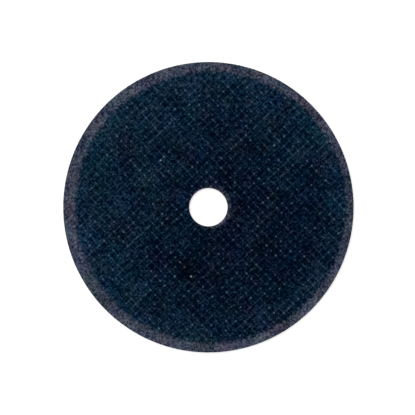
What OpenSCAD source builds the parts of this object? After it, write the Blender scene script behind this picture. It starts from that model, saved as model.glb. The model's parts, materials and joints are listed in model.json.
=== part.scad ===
// Cut-off wheel: a thin resin-bonded abrasive disc with a woven glass mesh pressed into each face.
// Millimetres, +Z up. The wheel lies flat, its lower face on z = 0 and its bore on the Z axis.

/* [Wheel] */
// Outside diameter
wheel_d = 76; // [70:0.5:100]
// Thickness over the two mesh faces
wheel_t = 1.6; // [1:0.1:3.2]
// Diameter of the arbor hole
bore_d = 10; // [6:0.5:16]

/* [Bare rim] */
// Mean width of the bare abrasive band outside the mesh
rim_w = 2.6; // [1.6:0.1:6]
// How far the bare band lies below the mesh face
rim_step = 0.06; // [0.02:0.02:0.2]

/* [Mesh] */
// Distance of the mesh disc's centre from the wheel's axis, along +X
mesh_shift = 0.78; // [0:0.02:1.4]
// Distance from one yarn to the next
yarn_pitch = 1.765; // [1.5:0.005:2.6]
// Yarns that one raised ridge stands for
yarns_per_ridge = 3; // [3:1:6]
// Width of a raised ridge
ridge_w = 2.3; // [1.2:0.1:3.4]
// Depth of the gaps between the ridges
gap_depth = 0.12; // [0.04:0.02:0.3]
// Direction of the first set of yarns, from +Y towards -X
yarn_angle = 43.3; // [0:0.1:90]
// Offset of the first set of yarns from the wheel's axis
warp_shift = 0.63; // [-0.8:0.01:0.8]
// Offset of the second set of yarns from the wheel's axis
weft_shift = -0.07; // [-0.8:0.01:0.8]

/* [Hidden] */
$fn = 180;
cut_over = 1;
mesh_d = wheel_d - 2 * rim_w;
rim_t = wheel_t - 2 * rim_step;
ridge_pitch = yarn_pitch * yarns_per_ridge;
gap_w = ridge_pitch - ridge_w;
gap_reach = gap_w / sqrt(2) + ridge_w / 2;
gap_rows = ceil(wheel_d / 2 / ridge_pitch);

// Centre of one gap in the wheel's plane
function gap_at(i, j) =
    let (u = warp_shift + (i + 0.5) * ridge_pitch, v = weft_shift + (j + 0.5) * ridge_pitch)
    [u * cos(yarn_angle) - v * sin(yarn_angle), u * sin(yarn_angle) + v * cos(yarn_angle)];

// A gap is kept where half a ridge or more is left between it and the bore or the mesh's edge
function gap_clear(p) =
    norm(p) > bore_d / 2 + gap_reach && norm(p - [mesh_shift, 0]) < mesh_d / 2 - gap_reach;

// Bare abrasive disc, as thick as the rim
module abrasive_disc() {
    translate([0, 0, rim_step]) cylinder(d = wheel_d, h = rim_t);
}

// The two mesh faces, a little off centre and proud of the rim
module mesh_faces() {
    translate([mesh_shift, 0, 0]) cylinder(d = mesh_d, h = wheel_t);
}

// All the gaps between the ridges of one face
module gap_grid() {
    for (i = [-gap_rows:1:gap_rows], j = [-gap_rows:1:gap_rows])
        if (gap_clear(gap_at(i, j)))
            translate(gap_at(i, j)) rotate(yarn_angle) square(gap_w, center = true);
}

module cut_off_wheel() {
    color("#142436")
        difference() {
            union() {
                abrasive_disc();
                mesh_faces();
            }
            translate([0, 0, -cut_over]) cylinder(d = bore_d, h = wheel_t + 2 * cut_over);
            translate([0, 0, wheel_t - gap_depth]) linear_extrude(gap_depth + cut_over) gap_grid();
            translate([0, 0, -cut_over]) linear_extrude(gap_depth + cut_over) gap_grid();
        }
}

cut_off_wheel();
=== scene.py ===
"""A thin resin-bonded cut-off wheel, with a woven glass mesh pressed into each face.

Metres throughout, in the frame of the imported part: +Z up, the bore on the Z axis, the lower face on z = 0.
The wheel lies flat on a white floor and the camera looks straight down on its upper face.
"""

import json
import logging
import math
from dataclasses import dataclass, field
from enum import Enum
from typing import Iterator, Sequence, Union

import bmesh
import bpy
import numpy as np
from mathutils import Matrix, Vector, noise

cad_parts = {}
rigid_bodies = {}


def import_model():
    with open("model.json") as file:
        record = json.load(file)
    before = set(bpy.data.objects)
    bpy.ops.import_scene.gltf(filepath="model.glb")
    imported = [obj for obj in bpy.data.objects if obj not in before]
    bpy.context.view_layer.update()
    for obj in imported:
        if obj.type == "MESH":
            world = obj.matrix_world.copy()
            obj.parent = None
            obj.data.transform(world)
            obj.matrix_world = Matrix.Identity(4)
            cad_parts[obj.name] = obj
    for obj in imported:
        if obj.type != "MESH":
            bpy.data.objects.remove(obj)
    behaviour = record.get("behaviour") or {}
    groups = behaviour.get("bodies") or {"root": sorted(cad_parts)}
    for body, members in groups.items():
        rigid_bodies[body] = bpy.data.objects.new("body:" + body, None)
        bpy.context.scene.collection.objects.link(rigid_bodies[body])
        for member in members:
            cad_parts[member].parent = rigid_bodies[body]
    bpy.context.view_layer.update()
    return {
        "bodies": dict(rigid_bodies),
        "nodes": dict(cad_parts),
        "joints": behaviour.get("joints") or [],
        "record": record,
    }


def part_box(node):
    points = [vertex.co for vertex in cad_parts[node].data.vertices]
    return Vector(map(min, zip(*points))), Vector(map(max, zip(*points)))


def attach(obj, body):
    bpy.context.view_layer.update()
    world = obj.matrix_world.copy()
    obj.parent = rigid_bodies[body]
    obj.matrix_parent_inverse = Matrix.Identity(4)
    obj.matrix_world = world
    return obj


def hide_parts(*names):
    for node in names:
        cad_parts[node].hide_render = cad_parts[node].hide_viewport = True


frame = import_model()

LOG = logging.getLogger("cut_off_wheel")
MM = 0.001
WHEEL_NODE = "cut_off_wheel"
BORE_MOUNT = "arbor_bore"
BODY = "root"
BAKE_MAP = "OFBake"

# How screen values turn into linear colour.
SCREEN_KNEE = 0.055
SCREEN_GAMMA = 2.4

# The sockets that a Mix node uses for colours.
MIX_SHARE = 0
MIX_FIRST = 6
MIX_SECOND = 7
MIX_RESULT = 2

Colour = tuple[float, float, float]
Place = tuple[float, float, float]
Socket = bpy.types.NodeSocket
Value = Union[float, Socket]
Depth = Union[float, np.ndarray]


class Face(Enum):
    """The two faces of the wheel."""

    FRONT = "front"
    BACK = "back"

    def height(self, depth: Depth, thickness: float) -> Depth:
        """Gives the z of points that lie a depth below this face."""
        return thickness - depth if self is Face.FRONT else depth


class YarnSet(Enum):
    """The two sets of yarns in the mesh, and the sign of their wave over and under."""

    WARP = 1.0
    WEFT = -1.0

    @property
    def other(self) -> "YarnSet":
        """The set that crosses this one."""
        return YarnSet.WEFT if self is YarnSet.WARP else YarnSet.WARP


class Axis(Enum):
    """The parts of a vector, by the number of their socket."""

    X = 0
    Y = 1
    Z = 2


@dataclass(frozen=True)
class WheelSizes:
    """Overall sizes of the wheel."""

    outer_r: float
    bore_r: float
    thickness: float

    @classmethod
    def from_frame(cls, packed: dict) -> "WheelSizes":
        """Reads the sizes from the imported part.


        Returns:
            The wheel's outer radius, bore radius and thickness.
        """
        low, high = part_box(WHEEL_NODE)
        bore = next(m for m in packed["record"]["mounts"] if m["name"] == BORE_MOUNT)
        return cls((high.x - low.x) / 2, bore["dims"]["r_mm"] * MM, high.z - low.z)


@dataclass(frozen=True)
class RubbedStretch:
    """A stretch of one yarn that is rubbed bare of resin."""

    yarn_set: YarnSet
    index: int
    start: float
    end: float
    fade: float = 1.5 * MM

    def share(self, along: np.ndarray) -> np.ndarray:
        """Gives how bare the yarn is at places along it: 1 in the stretch, 0 well outside it."""
        inside = np.minimum(along - self.start, self.end - along)
        return np.clip(0.5 + inside / self.fade, 0.0, 1.0)


FRONT_RUBS = (
    RubbedStretch(YarnSet.WEFT, -4, 18.0 * MM, 33.0 * MM),
    RubbedStretch(YarnSet.WEFT, -3, 18.0 * MM, 30.0 * MM),
    RubbedStretch(YarnSet.WEFT, 4, -23.5 * MM, -14.0 * MM),
    RubbedStretch(YarnSet.WEFT, 4, 20.0 * MM, 30.0 * MM),
    RubbedStretch(YarnSet.WEFT, 7, -32.0 * MM, -26.0 * MM),
    RubbedStretch(YarnSet.WEFT, 13, -1.0 * MM, 10.0 * MM),
    RubbedStretch(YarnSet.WEFT, 15, 4.5 * MM, 8.0 * MM),
    RubbedStretch(YarnSet.WARP, -4, 10.0 * MM, 22.0 * MM),
    RubbedStretch(YarnSet.WARP, 12, -12.0 * MM, -2.0 * MM),
    RubbedStretch(YarnSet.WARP, 14, -6.5 * MM, 4.5 * MM),
    RubbedStretch(YarnSet.WARP, 14, 12.0 * MM, 20.0 * MM),
)


@dataclass(frozen=True)
class MeshLayout:
    """Where the glass mesh lies in a face, and the lattice that its yarns follow."""

    radius: float = 35.4 * MM
    centre_x: float = 0.78 * MM
    pitch: float = 1.765 * MM
    angle: float = math.radians(43.3)
    warp_shift: float = 0.63 * MM
    weft_shift: float = -0.07 * MM

    def shift(self, yarn_set: YarnSet) -> float:
        """Gives the offset of one set's lattice lines from the bore's axis."""
        return self.warp_shift if yarn_set is YarnSet.WARP else self.weft_shift

    def centre(self, yarn_set: YarnSet) -> float:
        """Gives the mesh centre's coordinate across the yarns of one set."""
        turn = math.cos(self.angle) if yarn_set is YarnSet.WARP else -math.sin(self.angle)
        return self.centre_x * turn

    def centre_point(self) -> Place:
        """Gives the mesh's centre."""
        return self.centre_x, 0.0, 0.0

    def to_wheel(self, u: np.ndarray, v: np.ndarray) -> tuple[np.ndarray, np.ndarray]:
        """Turns lattice coordinates into the wheel's x and y."""
        cos, sin = math.cos(self.angle), math.sin(self.angle)
        return u * cos - v * sin, u * sin + v * cos

    def edge_radius(self, turn: np.ndarray) -> np.ndarray:
        """Gives the distance from the bore's axis to the mesh's edge, at each angle."""
        across = self.centre_x * np.sin(turn)
        return self.centre_x * np.cos(turn) + np.sqrt(self.radius**2 - across**2)


class NodeGraph:
    """A node material, with short calls for the nodes that the finishes use."""

    def __init__(self, name: str) -> None:
        """Makes an empty node material.

        Args:
            name: The material's name.
        """
        self.material = bpy.data.materials.new(name)
        self.material.use_nodes = True
        self.tree = self.material.node_tree
        self.tree.nodes.clear()

    def node(self, kind: str, **settings: object) -> bpy.types.Node:
        """Adds a node and sets its own properties.

        Args:
            kind: Blender's name of the node type, without its ShaderNode prefix.
            settings: Values for the node's properties.

        Returns:
            The new node.
        """
        made = self.tree.nodes.new("ShaderNode" + kind)
        for name, value in settings.items():
            setattr(made, name, value)
        return made

    def feed(self, socket: Socket, value: object) -> None:
        """Links a socket to another one, or sets its plain value.

        Args:
            socket: The input to feed.
            value: A socket to link from, or the value to set.
        """
        if isinstance(value, bpy.types.NodeSocket):
            self.tree.links.new(value, socket)
        else:
            socket.default_value = value

    def vector(self, operation: str, *values: object) -> bpy.types.Node:
        """Adds a Vector Math node.

        Args:
            operation: Blender's name of the operation.
            values: What goes into its inputs, in order.

        Returns:
            The node itself, because the output to use differs.
        """
        made = self.node("VectorMath", operation=operation)
        for socket, value in zip(made.inputs, values):
            self.feed(socket, value)
        return made

    def maths(self, operation: str, *values: Value) -> Socket:
        """Adds a Math node.

        Args:
            operation: Blender's name of the operation.
            values: Up to three values.

        Returns:
            The result.
        """
        made = self.node("Math", operation=operation)
        for socket, value in zip(made.inputs, values):
            self.feed(socket, value)
        return made.outputs[0]

    def joined(self, *values: Value) -> Socket:
        """Adds a vector made of up to three values.

        Args:
            values: Its parts, in order.

        Returns:
            The vector.
        """
        made = self.node("CombineXYZ")
        for socket, value in zip(made.inputs, values):
            self.feed(socket, value)
        return made.outputs[0]

    def part(self, vector: Socket, axis: Axis) -> Socket:
        """Gives one part of a vector.

        Args:
            vector: The vector.
            axis: Which part.

        Returns:
            The part.
        """
        made = self.node("SeparateXYZ")
        self.feed(made.inputs[0], vector)
        return made.outputs[axis.value]

    def place(self) -> Socket:
        """Gives the shading point in the wheel's own frame, in metres."""
        return self.node("TexCoord").outputs["Object"]

    def attribute(self, name: str) -> Socket:
        """Gives a number that the mesh holds at its points."""
        return self.node("Attribute", attribute_name=name).outputs["Fac"]

    def noise_node(self, place: Socket, grain: float, detail: float, rough: float) -> bpy.types.Node:
        """Adds a noise.

        Args:
            place: The point at which the noise is read.
            grain: Size of its features, in metres.
            detail: Number of finer octaves.
            rough: Strength of the finer octaves.

        Returns:
            The node, whose outputs are about 0.5 on average.
        """
        made = self.node("TexNoise")
        self.feed(made.inputs["Vector"], place)
        made.inputs["Scale"].default_value = 1 / grain
        made.inputs["Detail"].default_value = detail
        made.inputs["Roughness"].default_value = rough
        return made

    def noise(self, place: Socket, grain: float, detail: float = 1.0, rough: float = 0.5) -> Socket:
        """Gives the single value of a noise."""
        return self.noise_node(place, grain, detail, rough).outputs["Fac"]

    def vary(self, value: Value, pattern: Socket, gain: float) -> Socket:
        """Adds a pattern, taken from its middle of 0.5 and times a gain, to a value."""
        return self.maths("MULTIPLY_ADD", self.maths("SUBTRACT", pattern, 0.5), gain, value)

    def distance(self, place: Socket, centre: Sequence[float], upright: float = 0.0) -> Socket:
        """Adds the distance from a point.

        Args:
            place: The point at which it is read.
            centre: The point that it is measured from.
            upright: Weight of the upright part; at 0 the distance is from an upright line.

        Returns:
            The distance, in metres.
        """
        offset = self.vector("SUBTRACT", place, tuple(centre)).outputs[0]
        weighed = self.vector("MULTIPLY", offset, (1.0, 1.0, upright)).outputs[0]
        return self.vector("LENGTH", weighed).outputs["Value"]

    def spread(
        self, value: Socket, low: float, high: float, out_low: float = 0.0, out_high: float = 1.0
    ) -> Socket:
        """Maps a range of values smoothly onto another range.

        Args:
            value: The value to map.
            low: The value that becomes out_low.
            high: The value that becomes out_high; it may be less than low.
            out_low: Result at low and past it.
            out_high: Result at high and past it.

        Returns:
            The mapped value.
        """
        made = self.node("MapRange", interpolation_type="SMOOTHSTEP")
        limits = {"From Min": low, "From Max": high, "To Min": out_low, "To Max": out_high}
        for name, number in limits.items():
            made.inputs[name].default_value = number
        self.feed(made.inputs["Value"], value)
        return made.outputs["Result"]

    def linear(self, screen: Socket) -> Socket:
        """Turns screen values into the linear colour that shows as them.

        Args:
            screen: Red, green and blue as a screen shows them, from 0 to 1.

        Returns:
            The linear colour.
        """
        scale = 1 / (1 + SCREEN_KNEE)
        eased = self.vector("MULTIPLY_ADD", screen, [scale] * 3, [SCREEN_KNEE * scale] * 3).outputs[0]
        made = self.node("Gamma")
        self.feed(made.inputs["Color"], self.vector("MAXIMUM", eased, (0.0, 0.0, 0.0)).outputs[0])
        made.inputs["Gamma"].default_value = SCREEN_GAMMA
        return made.outputs["Color"]

    def mix(self, share: Value, first: object, second: object, blend: str = "MIX") -> Socket:
        """Mixes two colours.

        Args:
            share: From 0, the first, to 1, the second.
            first: A colour, plain or from a socket.
            second: The other colour.
            blend: Blender's name of the way to mix.

        Returns:
            The mixed colour.
        """
        made = self.node("Mix", data_type="RGBA", blend_type=blend)
        for index, value in ((MIX_SHARE, share), (MIX_FIRST, first), (MIX_SECOND, second)):
            plain = isinstance(value, tuple)
            self.feed(made.inputs[index], (*value, 1.0) if plain else value)
        return made.outputs[MIX_RESULT]

    def bump(self, height: Socket, strength: float, distance: float) -> Socket:
        """Adds a bump.

        Args:
            height: The pattern that stands out.
            strength: Strength of the bump, from 0 to 1.
            distance: How far a height of 1 stands out, in metres.

        Returns:
            The bumped normal.
        """
        made = self.node("Bump")
        made.inputs["Strength"].default_value = strength
        made.inputs["Distance"].default_value = distance
        self.feed(made.inputs["Height"], height)
        return made.outputs["Normal"]

    def surface(
        self, colour: Socket, roughness: Value, normal: Socket, specular: float
    ) -> bpy.types.Material:
        """Ends the graph with a principled shader.

        Args:
            colour: Base colour.
            roughness: Roughness.
            normal: Normal, from a bump.
            specular: Specular level, the same all over.

        Returns:
            The finished material.
        """
        shader = self.node("BsdfPrincipled")
        self.feed(shader.inputs["Base Color"], colour)
        self.feed(shader.inputs["Roughness"], roughness)
        self.feed(shader.inputs["Normal"], normal)
        shader.inputs["Specular IOR Level"].default_value = specular
        self.feed(self.node("OutputMaterial").inputs["Surface"], shader.outputs["BSDF"])
        return self.material


@dataclass(frozen=True)
class Shade:
    """A colour mixed in screen values: a grey level, and offsets of red, green and blue that drift."""

    floor: float
    span: float
    bend: float
    offset: Colour
    drift: Colour
    patch: float = 5.0 * MM

    def colour(self, graph: NodeGraph, place: Socket, tone: Socket, lean: Value = 0.0) -> Socket:
        """Adds the colour for a tone.

        Args:
            graph: The material's graph.
            place: The point at which the drift of hue is read.
            tone: The tone, where 0 is darkest.
            lean: More red, in screen values.

        Returns:
            The colour, in linear values.
        """
        pale = graph.maths("POWER", graph.maths("MAXIMUM", tone, 0.0), self.bend)
        level = graph.maths("MULTIPLY_ADD", pale, self.span, self.floor)
        grey = graph.joined(graph.maths("ADD", level, lean), level, level)
        pattern = graph.noise_node(place, self.patch, 1.0, 0.5).outputs["Color"]
        start = tuple(middle - wide / 2 for middle, wide in zip(self.offset, self.drift))
        hue = graph.vector("MULTIPLY_ADD", pattern, self.drift, start).outputs[0]
        return graph.linear(graph.vector("ADD", grey, hue).outputs[0])


RESIN_SHADE = Shade(
    floor=0.014, span=0.258, bend=1.05, offset=(-0.067, -0.002, 0.066), drift=(0.110, 0.0, 0.074)
)
BARE_SHADE = Shade(
    floor=0.110, span=0.290, bend=0.75, offset=(-0.028, -0.007, 0.051), drift=(0.098, 0.056, 0.076)
)


@dataclass(frozen=True)
class Stain:
    """A dark burnt spot in the front face."""

    place: Place
    size: float = 6.0 * MM
    core: float = 0.5 * MM
    ragged: float = 5.0 * MM
    ragged_grain: float = 3.0 * MM
    drop: float = 0.16
    tint: Colour = (1.5, 0.85, 0.60)
    one_face: float = 4.0

    def share(self, graph: NodeGraph, place: Socket) -> Socket:
        """Adds the stain's mask.

        Args:
            graph: The material's graph.
            place: The point at which it is read.

        Returns:
            The mask: 1 in the stain's middle, 0 outside it and on the other face.
        """
        radius = graph.distance(place, self.place, self.one_face)
        edge = graph.vary(radius, graph.noise(place, self.ragged_grain), self.ragged)
        return graph.spread(edge, self.size, self.core)


@dataclass(frozen=True)
class PaleGrain:
    """A single pale grain that shows in the front face."""

    place: Place
    size: float
    colour: Colour
    core: float = 0.35

    def lay(self, graph: NodeGraph, place: Socket, base: Socket) -> Socket:
        """Adds the grain over a colour."""
        away = graph.distance(place, self.place, 1.0)
        return graph.mix(graph.spread(away, self.size, self.core * self.size), base, self.colour)


@dataclass(frozen=True)
class ResinFilm:
    """The blue-black resin that soaks the mesh, paler all round a dark middle that lies off the bore."""

    layout: MeshLayout
    stain: Stain
    grains: tuple[PaleGrain, ...]
    shade: Shade = RESIN_SHADE
    red_loss: float = 0.108
    red_level: float = 0.20
    # Paler outwards from the dark middle, and again near the mesh's edge.
    plain: float = 0.139
    dark_middle: Place = (9.5 * MM, -6.5 * MM, 0.0)
    outer_lift: float = 0.19
    lift_from: float = 8.0 * MM
    lift_to: float = 42.0 * MM
    edge_lift: float = 0.12
    edge_from: float = 26.0 * MM
    edge_to: float = 38.0 * MM
    # Mottle, from broad patches to fine grain, and where in the noise the patches start.
    patch: float = 7.0 * MM
    patch_start: Place = (10.0 * MM, 150.0 * MM, 0.0)
    patch_gain: float = 0.46
    fleck: float = 0.85 * MM
    fleck_gain: float = 1.25
    speck: float = 0.40 * MM
    speck_gain: float = 1.60

    def broad_tone(self, graph: NodeGraph, place: Socket) -> Socket:
        """Adds the tone without its fine grain.

        Args:
            graph: The material's graph.
            place: The point at which the tone is read.

        Returns:
            The tone: paler outwards and near the mesh's edge, and in broad patches.
        """
        away = graph.distance(place, self.dark_middle)
        outwards = graph.spread(away, self.lift_from, self.lift_to)
        tone = graph.maths("MULTIPLY_ADD", outwards, self.outer_lift, self.plain)
        radius = graph.distance(place, self.layout.centre_point())
        near_edge = graph.spread(radius, self.edge_from, self.edge_to)
        tone = graph.maths("MULTIPLY_ADD", near_edge, self.edge_lift, tone)
        patches = graph.vector("ADD", place, self.patch_start).outputs[0]
        return graph.vary(tone, graph.noise(patches, self.patch), self.patch_gain)

    def tone(self, graph: NodeGraph, place: Socket, grain: float = 1.0) -> Socket:
        """Adds the film's mottled tone.

        Args:
            graph: The material's graph.
            place: The point at which the tone is read.
            grain: Strength of the fine grain.

        Returns:
            The tone.
        """
        tone = self.broad_tone(graph, place)
        tone = graph.vary(tone, graph.noise(place, self.fleck), grain * self.fleck_gain)
        tone = graph.vary(tone, graph.noise(place, self.speck), grain * self.speck_gain)
        return graph.maths("MULTIPLY_ADD", self.stain.share(graph, place), -self.stain.drop, tone)

    def colour(self, graph: NodeGraph, place: Socket, tone: Socket) -> Socket:
        """Adds the film's colour, with less red where it is pale over a broad patch.

        Args:
            graph: The material's graph.
            place: The point at which the colour is read.
            tone: The film's tone there.

        Returns:
            The colour, with the stain and the pale grains in it.
        """
        pale = graph.maths("SUBTRACT", self.broad_tone(graph, place), self.red_level)
        lean = graph.maths("MULTIPLY", pale, -self.red_loss)
        plain = self.shade.colour(graph, place, tone, lean)
        colour = graph.mix(self.stain.share(graph, place), plain, self.stain.tint, "MULTIPLY")
        for grain in self.grains:
            colour = grain.lay(graph, place, colour)
        return colour


@dataclass(frozen=True)
class BareGrit:
    """Speckled grey-violet abrasive, bare outside the mesh's ragged edge and in its hole."""

    layout: MeshLayout
    shade: Shade = BARE_SHADE
    # Mottle, from broad patches to speckle, and where in the noise the patches start.
    plain: float = 0.66
    patch: float = 6.0 * MM
    patch_start: Place = (-100.0 * MM, 40.0 * MM, 0.0)
    patch_gain: float = 0.72
    fleck: float = 0.60 * MM
    fleck_detail: float = 2.0
    fleck_rough: float = 0.8
    fleck_gain: float = 2.60
    # The mesh's outer edge, which is sharper at the right.
    ragged: float = 2.2 * MM
    ragged_grain: float = 0.6 * MM
    side_left: float = 0.0 * MM
    side_right: float = 31.0 * MM
    proud_left: float = 0.32 * MM
    proud_right: float = 0.00 * MM
    blend_left: float = 0.80 * MM
    blend_right: float = 0.45 * MM
    # The mesh's hole, which lies a little off the bore.
    hole_centre: Place = (0.52 * MM, -0.05 * MM, 0.0)
    hole_r: float = 5.26 * MM
    hole_blend: float = 0.55 * MM
    hole_ragged: float = 4.0 * MM

    def tone(self, graph: NodeGraph, place: Socket) -> Socket:
        """Adds the speckled tone.

        Args:
            graph: The material's graph.
            place: The point at which the tone is read.

        Returns:
            The tone.
        """
        patches = graph.vector("ADD", place, self.patch_start).outputs[0]
        tone = graph.vary(self.plain, graph.noise(patches, self.patch), self.patch_gain)
        speckle = graph.noise(place, self.fleck, self.fleck_detail, self.fleck_rough)
        return graph.vary(tone, speckle, self.fleck_gain)

    def outside(self, graph: NodeGraph, place: Socket) -> Socket:
        """Adds the mask of bare abrasive.

        Args:
            graph: The material's graph.
            place: The point at which it is read.

        Returns:
            The mask: 1 outside the mesh's ragged edge and in its hole, else 0.
        """
        grain = graph.noise(place, self.ragged_grain, detail=2.0)
        outer = graph.vary(graph.distance(place, self.layout.centre_point()), grain, self.ragged)
        sides = graph.part(place, Axis.X), self.side_left, self.side_right
        proud = graph.spread(*sides, self.proud_left, self.proud_right)
        past = graph.maths("SUBTRACT", graph.maths("SUBTRACT", outer, self.layout.radius), proud)
        blend = graph.spread(*sides, self.blend_left, self.blend_right)
        rim = graph.spread(graph.maths("DIVIDE", past, blend), -1.0, 1.0)
        inner = graph.vary(graph.distance(place, self.hole_centre), grain, self.hole_ragged)
        lip = graph.spread(inner, self.hole_r + self.hole_blend, self.hole_r - self.hole_blend)
        return graph.maths("MAXIMUM", rim, lip)


@dataclass(frozen=True)
class AbrasiveFinish:
    """Bare abrasive at the rim, edge and bore, and a film of resin inside the mesh's edge."""

    film: ResinFilm
    grit: BareGrit
    # Painted shade: how much darker the bare grit is made in the deepest pits between grains.
    pit_shade_drop: float = 0.55
    wall_from: float = 0.6
    wall_full: float = 0.3
    relief_grain: float = 0.20 * MM
    relief_range: tuple[float, float] = (0.3, 0.7)
    roughness: tuple[float, float] = (0.62, 0.92)
    bump_strength: float = 0.6
    bump_depth: float = 0.05 * MM
    specular: float = 0.006

    def bare_share(self, graph: NodeGraph, place: Socket) -> Socket:
        """Adds the mask of bare abrasive.

        Args:
            graph: The material's graph.
            place: The point at which it is read.

        Returns:
            The mask: 1 on the rim, at the hole and on the upright walls, else 0.
        """
        upright = graph.part(graph.node("NewGeometry").outputs["True Normal"], Axis.Z)
        wall = graph.spread(graph.maths("ABSOLUTE", upright), self.wall_from, self.wall_full)
        return graph.maths("MAXIMUM", self.grit.outside(graph, place), wall)

    def build(self) -> bpy.types.Material:
        """Makes the material.

        Returns:
            The material, which reads the mesh's "pit" for the painted shade in the pits.
        """
        graph = NodeGraph("bonded_abrasive")
        place = graph.place()
        bare = self.grit.tone(graph, place)
        # Painted shade: the bare grit is darker in the pits between grains, the deeper the darker.
        bare = graph.maths("MULTIPLY_ADD", graph.attribute("pit"), -self.pit_shade_drop, bare)
        grit = self.grit.shade.colour(graph, place, bare)
        film = self.film.colour(graph, place, self.film.tone(graph, place))
        colour = graph.mix(self.bare_share(graph, place), film, grit)
        relief = graph.noise(place, self.relief_grain, detail=3.0, rough=0.6)
        roughness = graph.spread(relief, *self.relief_range, *self.roughness)
        normal = graph.bump(relief, self.bump_strength, self.bump_depth)
        return graph.surface(colour, roughness, normal, self.specular)


@dataclass(frozen=True)
class YarnFinish:
    """Resin-soaked glass yarn, rubbed pale along its ridge and where its crowns stand highest, with a
    painted glint on a few crowns.
    """

    layout: MeshLayout
    face: Face
    thickness: float
    film: ResinFilm
    grit: BareGrit
    grain: float = 0.75
    span_lift: float = 0.02
    # The pale line along a yarn, which comes and goes.
    ridge_lift: float = 0.20
    ridge_edge: float = 0.24 * MM
    ridge_core: float = 0.04 * MM
    ridge_patch: float = 7.0 * MM
    ridge_hidden: float = 0.17
    ridge_clear: float = 0.54
    yarns_apart: float = 10.0
    # Stretches that are rubbed bare.
    stretch_lift: float = 0.18
    stretch_edge: float = 0.42 * MM
    stretch_from: float = 0.66
    stretch_full: float = 0.74
    # Spots of wear on the crowns, which differ from knuckle to knuckle, and a painted glint on a few of
    # them.
    crown_top: float = 1.27
    crown_edge: float = 0.62 * MM
    crown_core: float = 0.06 * MM
    dullest: float = 0.42
    liveliest: float = 1.08
    skew: float = 1.8
    # Painted glint: how much paler a glinting knuckle is made, and how many knuckles get it.
    painted_glint: float = 0.14
    painted_glint_chance: float = 0.02
    buried: float = 0.085 * MM
    bright: float = 0.010 * MM
    # Fine relief of the strands and of the resin on them.
    strand: float = 0.09 * MM
    strand_squeeze: float = 0.08
    resin_grain: float = 0.225 * MM
    relief_range: tuple[float, float] = (0.7, 1.3)
    roughness: tuple[float, float] = (0.5, 0.85)
    bump_strength: float = 0.5
    bump_depth: float = 0.03 * MM
    specular: float = 0.006

    def height(self, graph: NodeGraph, place: Socket) -> Socket:
        """Adds how high the yarn stands.

        Args:
            graph: The material's graph.
            place: The point at which it is read.

        Returns:
            The height: 1 level with the face, 0 where the yarn is buried.
        """
        depth = graph.part(place, Axis.Z)
        if self.face is Face.FRONT:
            depth = graph.maths("SUBTRACT", self.thickness, depth)
        return graph.spread(depth, self.buried, self.bright)

    def liveliness(self, graph: NodeGraph, knuckle: Socket) -> Socket:
        """Adds how pale each knuckle is worn: most are dull, and a few carry a painted glint.

        Args:
            graph: The material's graph.
            knuckle: Whole numbers that tell one knuckle from another.

        Returns:
            The share of wear, with the painted glint added.
        """
        node = graph.node("TexWhiteNoise", noise_dimensions="2D")
        graph.feed(node.inputs["Vector"], knuckle)
        chance = node.outputs["Value"]
        skewed = graph.maths("POWER", chance, self.skew)
        lively = graph.maths("MULTIPLY_ADD", skewed, self.liveliest - self.dullest, self.dullest)
        # Painted glint: a rare knuckle is made much paler, a highlight put into the colour.
        painted_glint_share = graph.spread(chance, 1 - self.painted_glint_chance, 1.0)
        return graph.maths("MULTIPLY_ADD", painted_glint_share, self.painted_glint, lively)

    def crown(self, graph: NodeGraph, place: Socket) -> Socket:
        """Adds the share of pale wear on the crowns.

        Args:
            graph: The material's graph.
            place: The point at which it is read.

        Returns:
            The share, a round spot at each knuckle of the weave that stands high.
        """
        turned = graph.node("VectorRotate", rotation_type="Z_AXIS")
        graph.feed(turned.inputs["Vector"], place)
        turned.inputs["Angle"].default_value = -self.layout.angle
        start = (-self.layout.warp_shift, -self.layout.weft_shift, 0.0)
        moved = graph.vector("ADD", turned.outputs[0], start).outputs[0]
        middle = (0.5, 0.5, 0.5)
        per_cell = (1 / self.layout.pitch, 1 / self.layout.pitch, 0.0)
        cells = graph.vector("MULTIPLY_ADD", moved, per_cell, middle).outputs[0]
        knuckle = graph.vector("FLOOR", cells).outputs[0]
        inside = graph.vector("SUBTRACT", cells, knuckle).outputs[0]
        away = graph.maths("MULTIPLY", graph.distance(inside, middle), self.layout.pitch)
        spot = graph.spread(away, self.crown_edge, self.crown_core)
        worn = graph.maths("MULTIPLY", spot, self.liveliness(graph, knuckle))
        return graph.maths("MULTIPLY", worn, self.height(graph, place))

    def along_noise(self, graph: NodeGraph) -> Socket:
        """Adds a noise that changes along each yarn and differs from yarn to yarn."""
        apart = graph.maths("MULTIPLY", graph.attribute("yarn"), self.yarns_apart * self.layout.pitch)
        return graph.noise(graph.joined(graph.attribute("along"), apart), self.ridge_patch)

    def lines(self, graph: NodeGraph, tone: Socket) -> Socket:
        """Adds the pale line along each yarn, and the stretches that are rubbed bare.

        Args:
            graph: The material's graph.
            tone: The tone of the film on the yarn.

        Returns:
            The tone with both in it.
        """
        aside = graph.maths("ABSOLUTE", graph.attribute("off_centre"))
        length = self.along_noise(graph)
        ridge = graph.spread(aside, self.ridge_edge, self.ridge_core)
        shown = graph.spread(length, self.ridge_hidden, self.ridge_clear)
        tone = graph.maths("MULTIPLY_ADD", graph.maths("MULTIPLY", ridge, shown), self.ridge_lift, tone)
        stretch = graph.spread(aside, self.stretch_edge, self.ridge_core)
        by_chance = graph.spread(length, self.stretch_from, self.stretch_full)
        worn = graph.maths("MAXIMUM", by_chance, graph.attribute("rubbed"))
        return graph.maths("MULTIPLY_ADD", graph.maths("MULTIPLY", stretch, worn), self.stretch_lift, tone)

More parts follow.
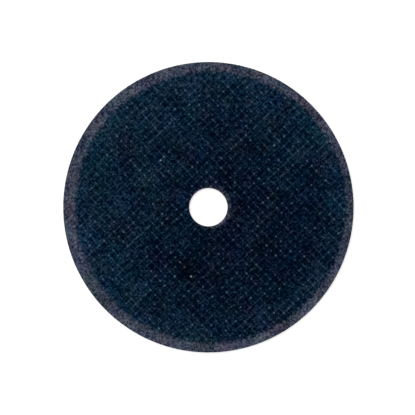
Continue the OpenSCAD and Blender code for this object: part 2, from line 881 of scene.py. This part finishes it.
    def relief(self, graph: NodeGraph, place: Socket) -> Socket:
        """Adds the height of the glass strands along the yarn and of the resin's grain on them.

        Args:
            graph: The material's graph.
            place: The point at which the resin's grain is read.

        Returns:
            The height, about 1 on average.
        """
        along = graph.maths("MULTIPLY", graph.attribute("along"), self.strand_squeeze)
        apart = graph.maths("MULTIPLY", graph.attribute("yarn"), self.layout.pitch)
        fibre = graph.joined(along, graph.attribute("off_centre"), apart)
        strands = graph.noise(fibre, self.strand, detail=2.0, rough=0.6)
        return graph.maths("ADD", strands, graph.noise(place, self.resin_grain, detail=2.0, rough=0.6))

    def build(self) -> bpy.types.Material:
        """Makes the material.

        Returns:
            The material, which reads the mesh's "along", "off_centre", "yarn" and "rubbed".
        """
        graph = NodeGraph(self.face.value + "_yarn")
        place = graph.place()
        tone = graph.maths("ADD", self.film.tone(graph, place, self.grain), self.span_lift)
        tone = self.lines(graph, tone)
        room = graph.maths("SUBTRACT", self.crown_top, tone)
        tone = graph.maths("MULTIPLY_ADD", self.crown(graph, place), room, tone)
        film = self.film.colour(graph, place, tone)
        grit = self.grit.shade.colour(graph, place, self.grit.tone(graph, place))
        colour = graph.mix(self.grit.outside(graph, place), film, grit)
        relief = self.relief(graph, place)
        roughness = graph.spread(relief, *self.relief_range, *self.roughness)
        normal = graph.bump(relief, self.bump_strength, self.bump_depth)
        return graph.surface(colour, roughness, normal, self.specular)


def set_attribute(mesh: bpy.types.Mesh, name: str, values: Sequence[float]) -> None:
    """Gives each point of a mesh a number that its material reads."""
    attribute = mesh.attributes.new(name, "FLOAT", "POINT")
    attribute.data.foreach_set("value", np.array(values, np.float32))


def new_piece(name: str, mesh: bpy.types.Mesh, material: bpy.types.Material) -> bpy.types.Object:
    """Puts a finished mesh in the scene as a piece of the wheel.

    Args:
        name: The piece's name.
        mesh: Its mesh, in the wheel's frame.
        material: Its finish.

    Returns:
        The piece, which rides on the wheel's body.
    """
    bm = bmesh.new()
    bm.from_mesh(mesh)
    bmesh.ops.recalc_face_normals(bm, faces=bm.faces)
    bm.to_mesh(mesh)
    bm.free()
    mesh.shade_smooth()
    mesh.materials.append(material)
    piece = bpy.data.objects.new(name, mesh)
    bpy.context.scene.collection.objects.link(piece)
    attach(piece, BODY)
    LOG.info("%s: %d vertices, %d faces", name, len(mesh.vertices), len(mesh.polygons))
    return piece


@dataclass
class AbrasiveBody:
    """The pressed disc of grain and resin: rim, edge, bore and the floor under the mesh."""

    sizes: WheelSizes
    layout: MeshLayout
    finish: AbrasiveFinish
    # The floor under the mesh.
    floor_depth: float = 0.125 * MM
    floor_wave: float = 0.030 * MM
    floor_patch: float = 3.2 * MM
    # Grains, and how deep the pits between them are on each surface.
    grit_grain: float = 0.46 * MM
    grit_rise: float = 1.6
    crumb_size: float = 0.5
    crumb_share: float = 0.25
    rim_top: float = 0.020 * MM
    grit_depth: float = 0.085 * MM
    edge_grit: float = 0.050 * MM
    edge_round: float = 0.16 * MM
    bore_grit: float = 0.012 * MM
    # Points in a ring, and rings in each zone.
    fine_turns: int = 1440
    coarse_turns: int = 480
    field_rings: int = 30
    rim_rings: int = 15
    edge_rings: int = 9
    bore_rings: int = 6
    _points: list = field(default_factory=list)
    _pits: list = field(default_factory=list)
    _rings: list = field(default_factory=list)

    def grit(self, place: Vector) -> float:
        """Gives how low the surface lies between grains.

        Args:
            place: A point of the surface.

        Returns:
            0 on a grain's top, up to 1 in a pit.
        """
        near = noise.voronoi(place / self.grit_grain)[0][0]
        crumbs = abs(noise.noise(place / (self.crumb_size * self.grit_grain)))
        return min(1.0, near * near * self.grit_rise + self.crumb_share * crumbs)

    def turns(self, count: int) -> np.ndarray:
        """Gives evenly spaced angles round the wheel."""
        return np.linspace(0.0, 2 * math.pi, count, endpoint=False)

    def add_ring(self, points: list[Vector], pits: list[float]) -> None:
        """Adds a closed ring after the last one.

        Args:
            points: The ring's points.
            pits: How low the surface lies between grains, at each.
        """
        start = len(self._points)
        self._points.extend(points)
        self._pits.extend(pits)
        self._rings.append(range(start, start + len(points)))

    def face_radius(self, edge: float, share: float, in_field: bool) -> float:
        """Gives the radius of a face's ring at one angle.

        Args:
            edge: Radius of the mesh's edge at that angle.
            share: Place from 0 to 1 between the zone's inner and outer limits.
            in_field: True under the mesh, False on the bare rim.

        Returns:
            The radius.
        """
        if in_field:
            start, end = self.sizes.bore_r + self.bore_grit, edge
        else:
            start, end = edge, self.sizes.outer_r - self.edge_round
        return start + share * (end - start)

    def face_ring(self, face: Face, share: float, in_field: bool) -> None:
        """Adds a ring in a face.

        Args:
            face: The face.
            share: Place from 0 to 1 between the zone's inner and outer limits.
            in_field: True under the mesh, False on the bare rim.
        """
        points, pits = [], []
        level = float(face.height(0.0, self.sizes.thickness))
        turns = self.turns(self.coarse_turns if in_field else self.fine_turns)
        for turn, edge in zip(turns, self.layout.edge_radius(turns)):
            radius = self.face_radius(edge, share, in_field)
            spot = Vector((radius * math.cos(turn), radius * math.sin(turn), level))
            pit = self.grit(spot)
            if in_field:
                depth = self.floor_depth + self.floor_wave * noise.noise(spot / self.floor_patch)
            else:
                depth = self.rim_top + self.grit_depth * pit
            spot.z = float(face.height(depth, self.sizes.thickness))
            points.append(spot)
            pits.append(pit)
        self.add_ring(points, pits)

    def wall_ring(self, radius: float, height: float, inward: float, count: int) -> None:
        """Adds a ring in a wall.

        Args:
            radius: The wall's nominal radius.
            height: The ring's z.
            inward: Deepest pit, positive towards the axis.
            count: Number of points.
        """
        points, pits = [], []
        for turn in self.turns(count):
            out = Vector((math.cos(turn), math.sin(turn), 0.0))
            place = out * radius + Vector((0.0, 0.0, height))
            pits.append(self.grit(place))
            points.append(place - out * inward * pits[-1])
        self.add_ring(points, pits)

    def make_rings(self) -> None:
        """Lays all the rings: out over the front, down the edge, in over the back and up the bore."""
        for step in range(self.field_rings):
            self.face_ring(Face.FRONT, step / self.field_rings, True)
        for step in range(self.rim_rings + 1):
            self.face_ring(Face.FRONT, step / self.rim_rings, False)
        top = self.sizes.thickness - self.rim_top - self.edge_round
        low = self.rim_top + self.edge_round
        for height in np.linspace(top, low, self.edge_rings):
            self.wall_ring(self.sizes.outer_r, height, self.edge_grit, self.fine_turns)
        for step in range(self.rim_rings, -1, -1):
            self.face_ring(Face.BACK, step / self.rim_rings, False)
        for step in range(self.field_rings - 1, -1, -1):
            self.face_ring(Face.BACK, step / self.field_rings, True)
        ends = self.floor_depth, self.sizes.thickness - self.floor_depth
        for height in np.linspace(*ends, self.bore_rings + 1)[1:-1]:
            self.wall_ring(self.sizes.bore_r, height, -self.bore_grit, self.coarse_turns)

    def strip(self, here: range, there: range) -> Iterator[tuple[int, ...]]:
        """Joins two rings of as many points.

        Args:
            here: The first ring.
            there: The ring after it.

        Yields:
            The points of each face.
        """
        for i in range(len(here)):
            j = (i + 1) % len(here)
            yield here[i], here[j], there[j], there[i]

    def fans(self, few: range, many: range) -> Iterator[tuple[int, ...]]:
        """Joins a coarse ring to a fine one that has a whole number of times its points.

        Args:
            few: The coarse ring.
            many: The fine ring.

        Yields:
            The points of each face.
        """
        ratio = len(many) // len(few)
        middle = ratio // 2
        for i in range(len(few)):
            fan = [many[(i * ratio + k) % len(many)] for k in range(ratio + 1)]
            nearest, following = few[i], few[(i + 1) % len(few)]
            for k in range(ratio):
                if k < middle:
                    yield nearest, fan[k], fan[k + 1]
                elif k == middle:
                    yield nearest, fan[k], fan[k + 1], following
                else:
                    yield following, fan[k], fan[k + 1]

    def faces(self) -> Iterator[tuple[int, ...]]:
        """Joins each ring to the next, and the last to the first.

        Yields:
            The points of each face.
        """
        for here, there in zip(self._rings, self._rings[1:] + self._rings[:1]):
            if len(here) == len(there):
                yield from self.strip(here, there)
            else:
                yield from self.fans(*sorted((here, there), key=len))

    def build(self) -> bpy.types.Object:
        """Makes the piece.

        Returns:
            The piece, which stands for the wheel's solid.
        """
        self.make_rings()
        mesh = bpy.data.meshes.new("abrasive_body")
        mesh.from_pydata([tuple(p) for p in self._points], [], list(self.faces()))
        set_attribute(mesh, "pit", self._pits)
        piece = new_piece("abrasive_body", mesh, self.finish.build())
        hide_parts(WHEEL_NODE)
        return piece


@dataclass
class WovenMesh:
    """One face's glass mesh: flattened yarns in plain weave, pressed level with the face."""

    sizes: WheelSizes
    layout: MeshLayout
    face: Face
    finish: YarnFinish
    seed: int
    rubs: tuple[RubbedStretch, ...] = ()
    warp_rub: float = 0.11
    # A yarn's section and how it wanders.
    half_width: float = 0.40 * MM
    half_thick: float = 0.085 * MM
    sway: float = 0.06 * MM
    sway_length: float = 17.0 * MM
    # How far knuckles, and broad patches of the mesh, are pressed in.
    sink: float = 0.022 * MM
    sink_shape: float = 1.0
    patch_sink: float = 0.020 * MM
    patch: float = 9.0 * MM
    # Ends at the ragged edge and at the bore.
    end_spread: float = 0.30 * MM
    end_range: tuple[float, float] = (-0.4, 1.0)
    bore_gap: float = 0.10 * MM
    # Rings along a yarn, and the angles of the points round it.
    rings_per_pitch: int = 6
    section: tuple[float, ...] = (0.0, 45.0, 90.0, 135.0, 180.0, 270.0)
    # The bake map: the section unrolled across a column, and the ends beside it.
    unrolled: tuple[float, ...] = (0.0, 0.175, 0.35, 0.525, 0.70, 0.85, 1.0)
    map_length: float = 74.0 * MM
    map_cap: float = 0.25 * MM
    map_cap_gap: float = 1.2
    map_cap_width: float = 0.4
    _points: list = field(default_factory=list)
    _along: list = field(default_factory=list)
    _off_centre: list = field(default_factory=list)
    _yarn: list = field(default_factory=list)
    _rubbed: list = field(default_factory=list)
    _faces: list = field(default_factory=list)
    _map: list = field(default_factory=list)

    @property
    def most(self) -> int:
        """The highest number of a yarn, counted from the middle of its set."""
        return math.ceil(self.layout.radius / self.layout.pitch) + 2

    @property
    def per_set(self) -> int:
        """The count of numbers in one set of yarns."""
        return 2 * self.most + 1

    def spans(
        self, offset: float, yarn_set: YarnSet, rng: np.random.Generator
    ) -> Iterator[tuple[float, float]]:
        """Gives the stretches of one yarn between the mesh's edge and the bore.

        Args:
            offset: The yarn's place across its set.
            yarn_set: Its set.
            rng: Source of the ragged ends.

        Yields:
            Start and end along the yarn.
        """
        across = offset - self.layout.centre(yarn_set)
        middle = self.layout.centre(yarn_set.other)
        if abs(across) >= self.layout.radius - self.half_width:
            return
        reach = math.sqrt(self.layout.radius**2 - across**2)
        start = middle - reach + self.end_spread * rng.uniform(*self.end_range)
        end = middle + reach - self.end_spread * rng.uniform(*self.end_range)
        clear = self.sizes.bore_r + self.bore_gap
        if abs(offset) < clear:
            cut = math.sqrt(clear**2 - offset**2)
            yield start, -cut
            yield cut, end
        elif end - start > self.layout.pitch:
            yield start, end

    def ring_places(self, start: float, end: float, yarn_set: YarnSet) -> np.ndarray:
        """Gives the places of the rings along a yarn.

        Args:
            start: Where the yarn starts.
            end: Where it ends.
            yarn_set: Its set.

        Returns:
            Its two ends and the even steps between them, which fall on the crossings.
        """
        step = self.layout.pitch / self.rings_per_pitch
        phase = self.layout.shift(yarn_set.other)
        first = math.ceil((start - phase) / step)
        last = math.floor((end - phase) / step)
        inner = phase + np.arange(first, last + 1) * step
        return np.concatenate([[start], inner[(inner > start) & (inner < end)], [end]])

    def centre_depth(
        self, along: np.ndarray, index: int, yarn_set: YarnSet, sinks: np.ndarray
    ) -> np.ndarray:
        """Gives how deep a yarn's centreline runs.

        Args:
            along: Places along the yarn.
            index: The yarn's number in its set.
            yarn_set: Its set.
            sinks: How far each knuckle is pressed in, by warp and weft number.

        Returns:
            The depth below the face at each place.
        """
        count = (along - self.layout.shift(yarn_set.other)) / self.layout.pitch
        wave = yarn_set.value * np.cos(math.pi * (count + index)) ** 3
        nearest = np.rint(count).astype(int)
        rows = np.full_like(nearest, index + self.most)
        columns = nearest + self.most
        pressed = sinks[rows, columns] if yarn_set is YarnSet.WARP else sinks[columns, rows]
        weight = np.cos(math.pi * (count - nearest)) ** 2
        return self.half_thick * (2.0 - wave) + pressed * weight

    def pressed_patch(self, along: np.ndarray, offset: float, yarn_set: YarnSet) -> np.ndarray:
        """Gives how much deeper the mesh lies in broad patches of the face.

        Args:
            along: Places along a yarn.
            offset: The yarn's place across its set.
            yarn_set: Its set.

        Returns:
            The extra depth at each place.
        """
        spots = []
        for place in along:
            u, v = (offset, place) if yarn_set is YarnSet.WARP else (place, offset)
            spot = Vector((u, v, self.seed * self.patch)) / self.patch
            spots.append(self.patch_sink * noise.noise(spot))
        return np.array(spots)

    def rubbed_share(self, along: np.ndarray, index: int, yarn_set: YarnSet) -> np.ndarray:
        """Gives how bare one yarn is rubbed.

        Args:
            along: Places along the yarn.
            index: The yarn's number in its set.
            yarn_set: Its set; the warp is rubbed a little all along.

        Returns:
            The share at each place, from 0 to 1.
        """
        share = np.full_like(along, self.warp_rub if yarn_set is YarnSet.WARP else 0.0)
        for rub in self.rubs:
            if (rub.yarn_set, rub.index) == (yarn_set, index):
                share = np.maximum(share, rub.share(along))
        return share

    def add_yarn(
        self, along: np.ndarray, offset: np.ndarray, depth: np.ndarray, yarn_set: YarnSet, number: int
    ) -> None:
        """Adds one closed yarn along its centreline.

        Args:
            along: Places along the yarn.
            offset: The centreline's place across the set, at each.
            depth: Its depth below the face, at each.
            yarn_set: The yarn's set.
            number: The yarn's own number in the mesh.
        """
        start = len(self._points)
        sides = len(self.section)
        turn = np.radians(self.section)
        off_centre = np.broadcast_to(self.half_width * np.cos(turn)[None, :], (len(along), sides))
        across = offset[:, None] + off_centre
        deep = np.maximum(depth[:, None] - self.half_thick * np.sin(turn)[None, :], 0.0)
        length = np.broadcast_to(along[:, None], across.shape)
        u, v = (across, length) if yarn_set is YarnSet.WARP else (length, across)
        x, y = self.layout.to_wheel(u, v)
        clear = np.maximum(1.0, (self.sizes.bore_r + self.bore_gap) / np.hypot(x, y))
        z = self.face.height(deep, self.sizes.thickness)
        self._points.extend(np.stack([x * clear, y * clear, z], axis=2).reshape(-1, 3).tolist())
        self._along.extend(length.ravel().tolist())
        self._off_centre.extend(off_centre.ravel().tolist())
        self._yarn.extend([number] * across.size)
        for first in range(start, start + (len(along) - 1) * sides, sides):
            for side in range(sides):
                following = (side + 1) % sides
                near, far = first + following, first + sides + following
                self._faces.append((first + side, near, far, first + sides + side))
        last = start + (len(along) - 1) * sides
        self._faces.append(tuple(range(start, start + sides)))
        self._faces.append(tuple(range(last, last + sides)))
        self.map_yarn(along, number)

    def map_yarn(self, along: np.ndarray, number: int) -> None:
        """Gives one yarn's faces their places on the bake map: a column with the yarn unrolled in it.

        Args:
            along: Places along the yarn.
            number: The yarn's own number in the mesh.
        """
        column = 1 / (2 * self.per_set)
        u = column * (number + np.array(self.unrolled))
        v = 0.5 + along / self.map_length
        for low, high in zip(v, v[1:]):
            for left, right in zip(u, u[1:]):
                self._map.extend((left, low, right, low, right, high, left, high))
        cap = self.map_cap / self.map_length
        for end, outwards in ((v[0], -cap), (v[-1], cap)):
            for turn in np.radians(self.section):
                across = column * (number + 0.5 + self.map_cap_width * math.cos(turn))
                self._map.extend((across, end + outwards * (self.map_cap_gap + math.sin(turn))))

    def weave(self) -> None:
        """Lays all the yarns of both sets."""
        rng = np.random.default_rng(self.seed)
        sinks = rng.gamma(self.sink_shape, self.sink, (self.per_set, self.per_set))
        for yarn_set in YarnSet:
            for index in range(-self.most, self.most + 1):
                offset = self.layout.shift(yarn_set) + index * self.layout.pitch
                swing = rng.uniform(0.0, 2 * math.pi)
                number = 2 * (index + self.most) + (yarn_set is YarnSet.WEFT)
                for start, end in self.spans(offset, yarn_set, rng):
                    along = self.ring_places(start, end, yarn_set)
                    sway = self.sway * np.sin(2 * math.pi * along / self.sway_length + swing)
                    depth = self.centre_depth(along, index, yarn_set, sinks)
                    depth = depth + self.pressed_patch(along, offset, yarn_set)
                    self.add_yarn(along, offset + sway, depth, yarn_set, number)
                    rubbed = self.rubbed_share(along, index, yarn_set)
                    self._rubbed.extend(np.repeat(rubbed, len(self.section)).tolist())

    def build(self) -> bpy.types.Object:
        """Makes the piece.

        Returns:
            The piece.
        """
        self.weave()
        name = self.face.value + "_mesh"
        mesh = bpy.data.meshes.new(name)
        mesh.from_pydata(self._points, [], self._faces)
        set_attribute(mesh, "along", self._along)
        set_attribute(mesh, "off_centre", self._off_centre)
        set_attribute(mesh, "yarn", self._yarn)
        set_attribute(mesh, "rubbed", self._rubbed)
        mesh.uv_layers.new(name=BAKE_MAP).uv.foreach_set("vector", np.array(self._map, np.float32))
        return new_piece(name, mesh, self.finish.build())


@dataclass
class Studio:
    """White floor, soft lights and the camera over the wheel."""

    sizes: WheelSizes
    # The camera, framed as the photograph is.
    image_px: int = 415
    wheel_px: float = 145.40
    centre_px: tuple[float, float] = (207.90, 206.72)
    camera_height: float = 0.6
    sensor: float = 36.0
    # The floor, and the white that it and the backdrop show to the camera.
    floor_half: float = 3.0
    floor_gap: float = 0.02 * MM
    floor_colour: Colour = (0.86, 0.86, 0.86)
    floor_mottle: float = 0.985
    floor_grain: float = 2.0 * MM
    floor_lift: float = 0.42
    # The light.
    ambient: float = 0.50
    key_power: float = 4.4
    key_size: float = 0.6
    key_place: Place = (-0.24, 0.22, 0.82)
    fill_power: float = 1.4
    fill_size: float = 0.9
    fill_place: Place = (0.55, -0.35, 0.60)

    def seen(self, tree: bpy.types.NodeTree) -> Socket:
        """Adds the test that a ray comes from the camera, a reflection or a transmission.

        Args:
            tree: The nodes to add it to.

        Returns:
            1 for such a ray, else 0.
        """
        path = tree.nodes.new("ShaderNodeLightPath")
        total = path.outputs["Is Camera Ray"]
        for name in ("Is Glossy Ray", "Is Transmission Ray"):
            most = tree.nodes.new("ShaderNodeMath")
            most.operation = "MAXIMUM"
            tree.links.new(total, most.inputs[0])
            tree.links.new(path.outputs[name], most.inputs[1])
            total = most.outputs[0]
        return total

    def floor_finish(self) -> bpy.types.Material:
        """Makes the floor's material.

        Returns:
            Pale paper, lifted to white where the camera sees it lit.
        """
        graph = NodeGraph("white_floor")
        paper = graph.node("BsdfDiffuse")
        grain = graph.noise(graph.place(), self.floor_grain, detail=2.0)
        mottled = tuple(self.floor_mottle * part for part in self.floor_colour)
        graph.feed(paper.inputs["Color"], graph.mix(grain, self.floor_colour, mottled))
        glow = graph.node("Emission")
        strength = graph.maths("MULTIPLY", self.seen(graph.tree), self.floor_lift)
        graph.feed(glow.inputs["Strength"], strength)
        both = graph.node("AddShader")
        graph.feed(both.inputs[0], paper.outputs[0])
        graph.feed(both.inputs[1], glow.outputs[0])
        graph.feed(graph.node("OutputMaterial").inputs["Surface"], both.outputs[0])
        return graph.material

    def add_floor(self) -> None:
        """Adds the white floor, which keeps the wheel's shadow."""
        half, z = self.floor_half, -self.floor_gap
        corners = [(-half, -half, z), (half, -half, z), (half, half, z), (-half, half, z)]
        mesh = bpy.data.meshes.new("floor")
        mesh.from_pydata(corners, [], [(0, 1, 2, 3)])
        mesh.materials.append(self.floor_finish())
        floor = bpy.data.objects.new("floor", mesh)
        bpy.context.scene.collection.objects.link(floor)

    def add_world(self) -> None:
        """Adds an even soft light from all round, and a white backdrop."""
        world = bpy.data.worlds.new("studio")
        world.use_nodes = True
        bpy.context.scene.world = world
        tree = world.node_tree
        strength = tree.nodes.new("ShaderNodeMapRange")
        tree.links.new(self.seen(tree), strength.inputs["Value"])
        strength.inputs["To Min"].default_value = self.ambient
        strength.inputs["To Max"].default_value = 1.0
        background = tree.nodes["Background"]
        background.inputs["Color"].default_value = (1.0, 1.0, 1.0, 1.0)
        tree.links.new(strength.outputs[0], background.inputs["Strength"])

    def add_lamp(self, name: str, place: Place, power: float, size: float) -> None:
        """Adds a soft square lamp aimed at the wheel.

        Args:
            name: The lamp's name.
            place: Where it hangs.
            power: Its power, in watts.
            size: Its side.
        """
        lamp = bpy.data.lights.new(name, "AREA")
        lamp.energy = power
        lamp.size = size
        holder = bpy.data.objects.new(name, lamp)
        holder.location = place
        holder.rotation_mode = "QUATERNION"
        holder.rotation_quaternion = (-Vector(place)).to_track_quat("-Z", "Y")
        bpy.context.scene.collection.objects.link(holder)

    def add_camera(self) -> None:
        """Adds the camera straight over the wheel, framed as the photograph is."""
        per_px = self.sizes.outer_r / self.wheel_px
        middle = (self.image_px - 1) / 2
        data = bpy.data.cameras.new("camera")
        data.sensor_width = self.sensor
        data.lens = self.sensor * self.camera_height / (per_px * self.image_px)
        camera = bpy.data.objects.new("camera", data)
        x = (middle - self.centre_px[0]) * per_px
        y = (self.centre_px[1] - middle) * per_px
        camera.location = (x, y, self.sizes.thickness + self.camera_height)
        bpy.context.scene.collection.objects.link(camera)
        bpy.context.scene.camera = camera

    def build(self) -> None:
        """Sets up everything round the wheel."""
        bpy.context.scene.view_settings.view_transform = "Standard"
        self.add_camera()
        self.add_floor()
        self.add_world()
        self.add_lamp("key", self.key_place, self.key_power, self.key_size)
        self.add_lamp("fill", self.fill_place, self.fill_power, self.fill_size)


def main() -> None:
    """Builds the studio and the wheel."""
    logging.basicConfig(level=logging.INFO, format="%(name)s %(message)s")
    sizes = WheelSizes.from_frame(frame)
    layout = MeshLayout()
    Studio(sizes).build()
    top = sizes.thickness
    stain = Stain(place=(-4.7 * MM, -16.9 * MM, top))
    grains = (
        PaleGrain(place=(-4.52 * MM, -18.10 * MM, top), size=0.40 * MM, colour=(0.19, 0.205, 0.25)),
        PaleGrain(place=(-12.48 * MM, 12.27 * MM, top), size=0.32 * MM, colour=(0.18, 0.24, 0.32)),
    )
    film = ResinFilm(layout, stain, grains)
    grit = BareGrit(layout)
    AbrasiveBody(sizes, layout, AbrasiveFinish(film, grit)).build()
    for seed, face in enumerate(Face, start=1):
        finish = YarnFinish(layout, face, sizes.thickness, film, grit)
        rubs = FRONT_RUBS if face is Face.FRONT else ()
        WovenMesh(sizes, layout, face, finish, seed, rubs).build()


if __name__ == "__main__":
    main()
